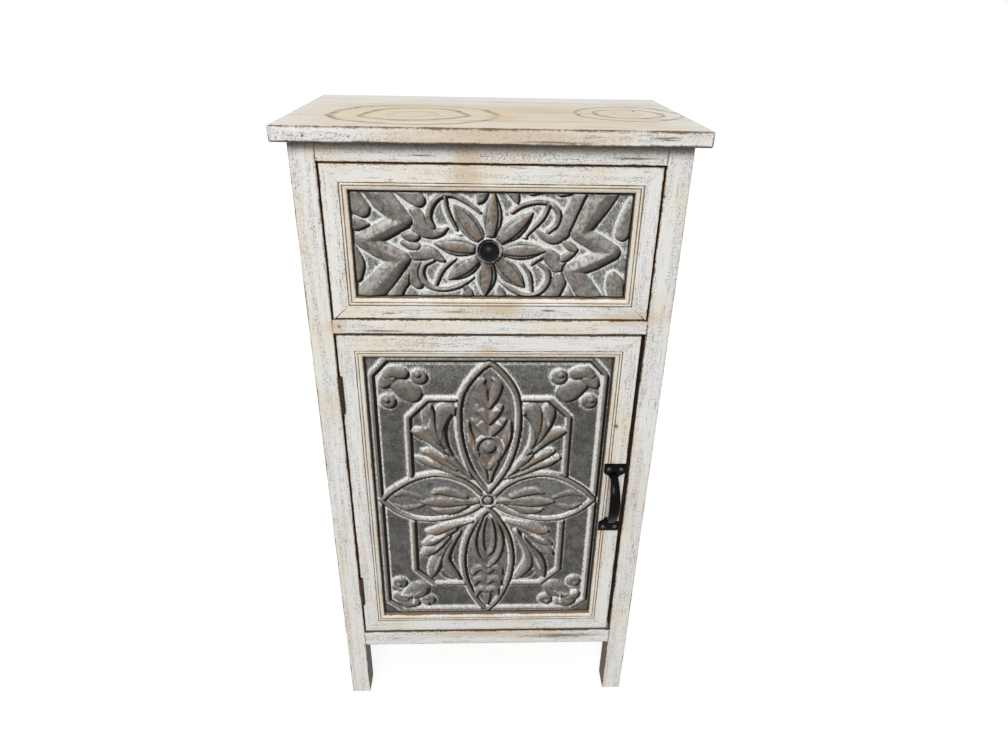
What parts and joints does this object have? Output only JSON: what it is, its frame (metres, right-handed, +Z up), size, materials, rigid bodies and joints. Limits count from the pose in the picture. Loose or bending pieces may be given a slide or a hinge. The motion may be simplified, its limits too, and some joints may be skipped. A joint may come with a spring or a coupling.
{
  "type": "farmhouse cabinet",
  "caption": "Slim white-painted pine cabinet on square legs, with a knobbed drawer over a hinged door, both framed round pressed-metal panels.",
  "frame": {"origin": "on the floor, under the middle of the box that the whole cabinet fills, pull included", "axes": "+Z up; +X to the right seen from the front; the front faces -Y"},
  "size_m": [0.425, 0.285, 0.8],
  "materials": {
    "painted_pine": "whitewashed paint, rubbed through to brown wood along its arrises",
    "bare_pine": "bare sanded pine",
    "board": "thin plain board",
    "pressed_tin": "dark grey pressed sheet with white wash in the hollows and brown on the high points",
    "black_iron": "gloss black",
    "bronze": "dark bronze",
    "steel": "plain zinc-plated",
    "catch_plastic": "moulded"
  },
  "bodies": {
    "case": {"top_board": "painted_pine", "front_leg_left": "painted_pine", "front_leg_right": "painted_pine", "rear_leg_left": "painted_pine", "rear_leg_right": "painted_pine", "top_rail": "painted_pine", "mid_rail": "painted_pine", "bottom_rail": "painted_pine", "side_rail_top_left": "painted_pine", "side_rail_top_right": "painted_pine", "side_rail_bottom_left": "painted_pine", "side_rail_bottom_right": "painted_pine", "side_panel_left": "painted_pine", "side_panel_right": "painted_pine", "rear_rail_top": "bare_pine", "rear_rail_bottom": "bare_pine", "cabinet_floor": "bare_pine", "floor_cleat_left": "bare_pine", "floor_cleat_right": "bare_pine", "shelf": "bare_pine", "drawer_runner_left": "bare_pine", "drawer_runner_right": "bare_pine", "drawer_stops": "bare_pine", "drawer_kicker_left": "bare_pine", "drawer_kicker_right": "bare_pine", "door_stop": "bare_pine", "back_panel": "board", "hinge_frame_leaf_upper": "bronze", "hinge_frame_leaf_lower": "bronze", "hinge_pins": "bronze", "hinge_frame_screws": "bronze", "shelf_pins": "steel", "back_panel_nails": "steel", "top_screws": "steel", "catch_screws": "steel", "magnetic_catch": "catch_plastic"},
    "drawer": {"drawer_front_stile_left": "painted_pine", "drawer_front_stile_right": "painted_pine", "drawer_front_rail_bottom": "painted_pine", "drawer_front_rail_top": "painted_pine", "drawer_metal_panel": "pressed_tin", "drawer_backing_board": "board", "drawer_side_left": "bare_pine", "drawer_side_right": "bare_pine", "drawer_back": "bare_pine", "drawer_bottom": "bare_pine", "drawer_knob": "black_iron", "knob_screw": "steel"},
    "door": {"door_stile_left": "painted_pine", "door_stile_right": "painted_pine", "door_rail_bottom": "painted_pine", "door_rail_top": "painted_pine", "door_metal_panel": "pressed_tin", "door_backing_board": "board", "hinge_door_leaf_upper": "bronze", "hinge_door_leaf_lower": "bronze", "hinge_door_screws": "bronze", "strike_plate": "steel", "pull_handle": "black_iron", "pull_screws": "black_iron"}
  },
  "joints": [
    {"name": "drawer_slide", "type": "slide", "parent": "case", "child": "drawer", "axis": [0, -1, 0], "range_m": [0, 0.19]},
    {"name": "door_hinge", "type": "hinge", "parent": "case", "child": "door", "pos_m": [-0.1705, -0.1165, 0.3525], "axis": [0, 0, -1], "range_deg": [0, 170]}
  ]
}
